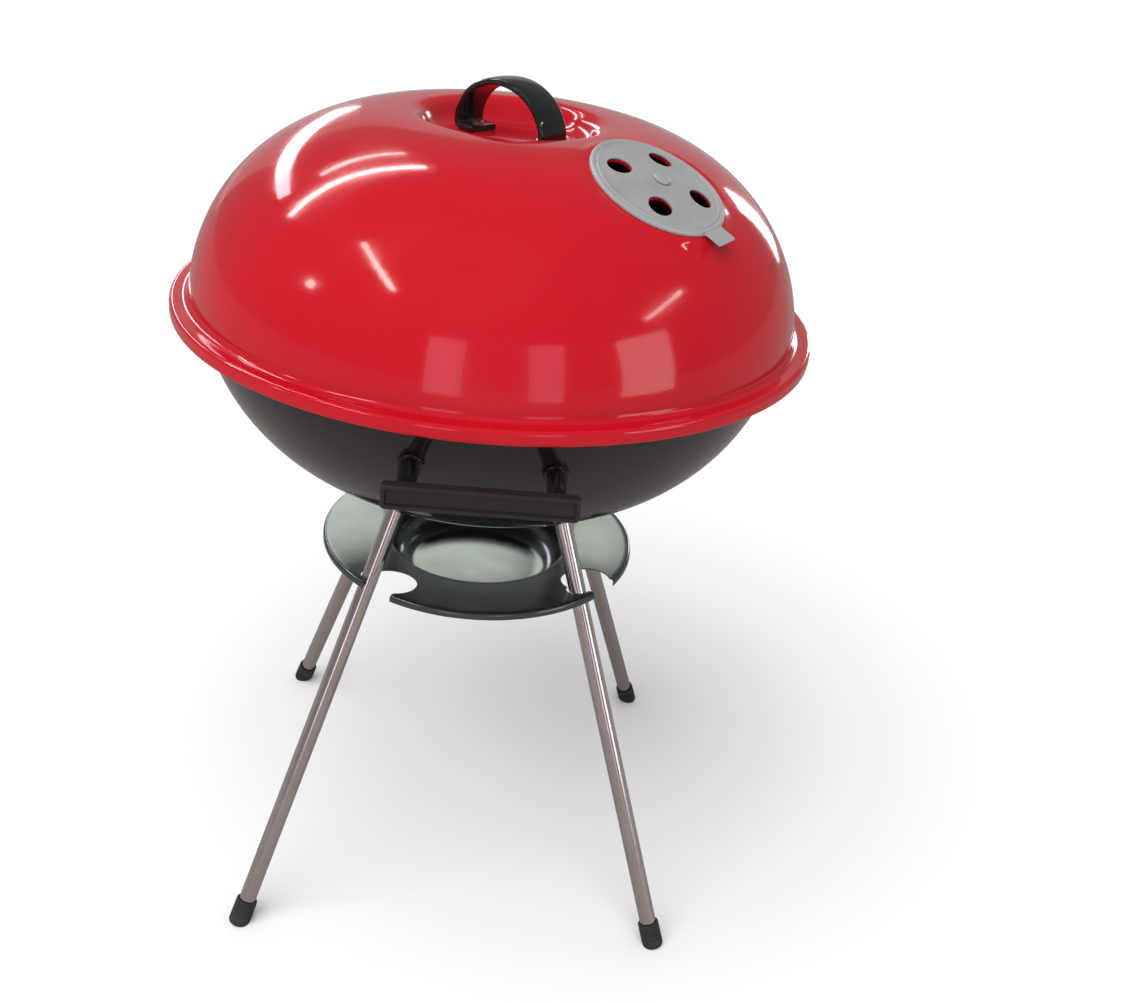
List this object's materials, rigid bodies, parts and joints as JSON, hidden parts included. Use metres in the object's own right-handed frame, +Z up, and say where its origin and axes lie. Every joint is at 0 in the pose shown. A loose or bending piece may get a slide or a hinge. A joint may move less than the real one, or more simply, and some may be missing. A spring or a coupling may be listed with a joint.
{
  "type": "kettle charcoal grill",
  "caption": "Round kettle charcoal grill with a red domed lid, black bowl, splayed chrome tube legs, side handles, turning vents, lift-out grates and a hooked ash catcher.",
  "frame": {"origin": "on the ground under the bowl's axis", "axes": "+Z up along the bowl's axis, -Y towards the front side handle, +X to the right seen from the front"},
  "size_m": [0.4699, 0.4992, 0.6375],
  "materials": {
    "bowl_enamel": "gloss porcelain enamel",
    "lid_enamel": "gloss porcelain enamel",
    "bracket_steel": "black heat-resistant paint",
    "leg_chrome": "polished",
    "foot_rubber": "matte",
    "handle_bar_plastic": "satin gloss",
    "spacer_plastic": "gloss",
    "zinc_steel": "zinc plated",
    "damper_steel": "galvanised, dull",
    "charcoal_grate_steel": "plain wire",
    "cooking_grate_chrome": "plated wire",
    "lid_handle_plastic": "gloss",
    "ash_catcher_paint": "semi-gloss dark grey"
  },
  "bodies": {
    "stand": {"bowl": "bowl_enamel", "cooking_grate_tabs": "bracket_steel", "charcoal_grate_tabs": "bracket_steel", "bottom_vent_rivet": "damper_steel", "leg_socket_front_left": "bracket_steel", "leg_socket_front_right": "bracket_steel", "leg_socket_rear_left": "bracket_steel", "leg_socket_rear_right": "bracket_steel", "leg_front_left": "leg_chrome", "leg_front_right": "leg_chrome", "leg_rear_left": "leg_chrome", "leg_rear_right": "leg_chrome", "leg_screws": "zinc_steel", "foot_cap_front_left": "foot_rubber", "foot_cap_front_right": "foot_rubber", "foot_cap_rear_left": "foot_rubber", "foot_cap_rear_right": "foot_rubber", "side_handle_front": "handle_bar_plastic", "side_handle_rear": "handle_bar_plastic", "handle_spacers_front": "spacer_plastic", "handle_spacers_rear": "spacer_plastic", "side_handle_bolts": "zinc_steel", "side_handle_washers": "zinc_steel"},
    "bottom_damper": {"bottom_damper": "damper_steel"},
    "charcoal_grate": {"charcoal_grate": "charcoal_grate_steel"},
    "cooking_grate": {"cooking_grate": "cooking_grate_chrome", "cooking_grate_lifts": "cooking_grate_chrome"},
    "lid": {"lid_shell": "lid_enamel", "lid_handle": "lid_handle_plastic", "lid_handle_screws": "zinc_steel", "lid_handle_washers": "zinc_steel", "lid_handle_nuts": "zinc_steel", "lid_vent_rivet": "damper_steel"},
    "lid_damper": {"lid_damper": "damper_steel"},
    "ash_catcher": {"ash_catcher": "ash_catcher_paint"}
  },
  "joints": [
    {"name": "bottom_damper_turn", "type": "hinge", "parent": "stand", "child": "bottom_damper", "pos_m": [0, 0, 0.3355], "axis": [0, 0, 1], "continuous": true},
    {"name": "charcoal_grate_lift", "type": "slide", "parent": "stand", "child": "charcoal_grate", "axis": [0, 0, 1], "range_m": [0, 0.12]},
    {"name": "cooking_grate_lift", "type": "slide", "parent": "charcoal_grate", "child": "cooking_grate", "axis": [0, 0, 1], "range_m": [0, 0.15]},
    {"name": "lid_lift", "type": "slide", "parent": "cooking_grate", "child": "lid", "axis": [0, 0, 1], "range_m": [0, 0.25]},
    {"name": "lid_damper_turn", "type": "hinge", "parent": "lid", "child": "lid_damper", "pos_m": [0.1001, -0.09335, 0.59891], "axis": [0.2975, -0.2774, 0.9135], "continuous": true},
    {"name": "ash_catcher_turn", "type": "hinge", "parent": "stand", "child": "ash_catcher", "pos_m": [0, 0, 0.26], "axis": [0, 0, 1], "range_deg": [-9, 0]}
  ]
}
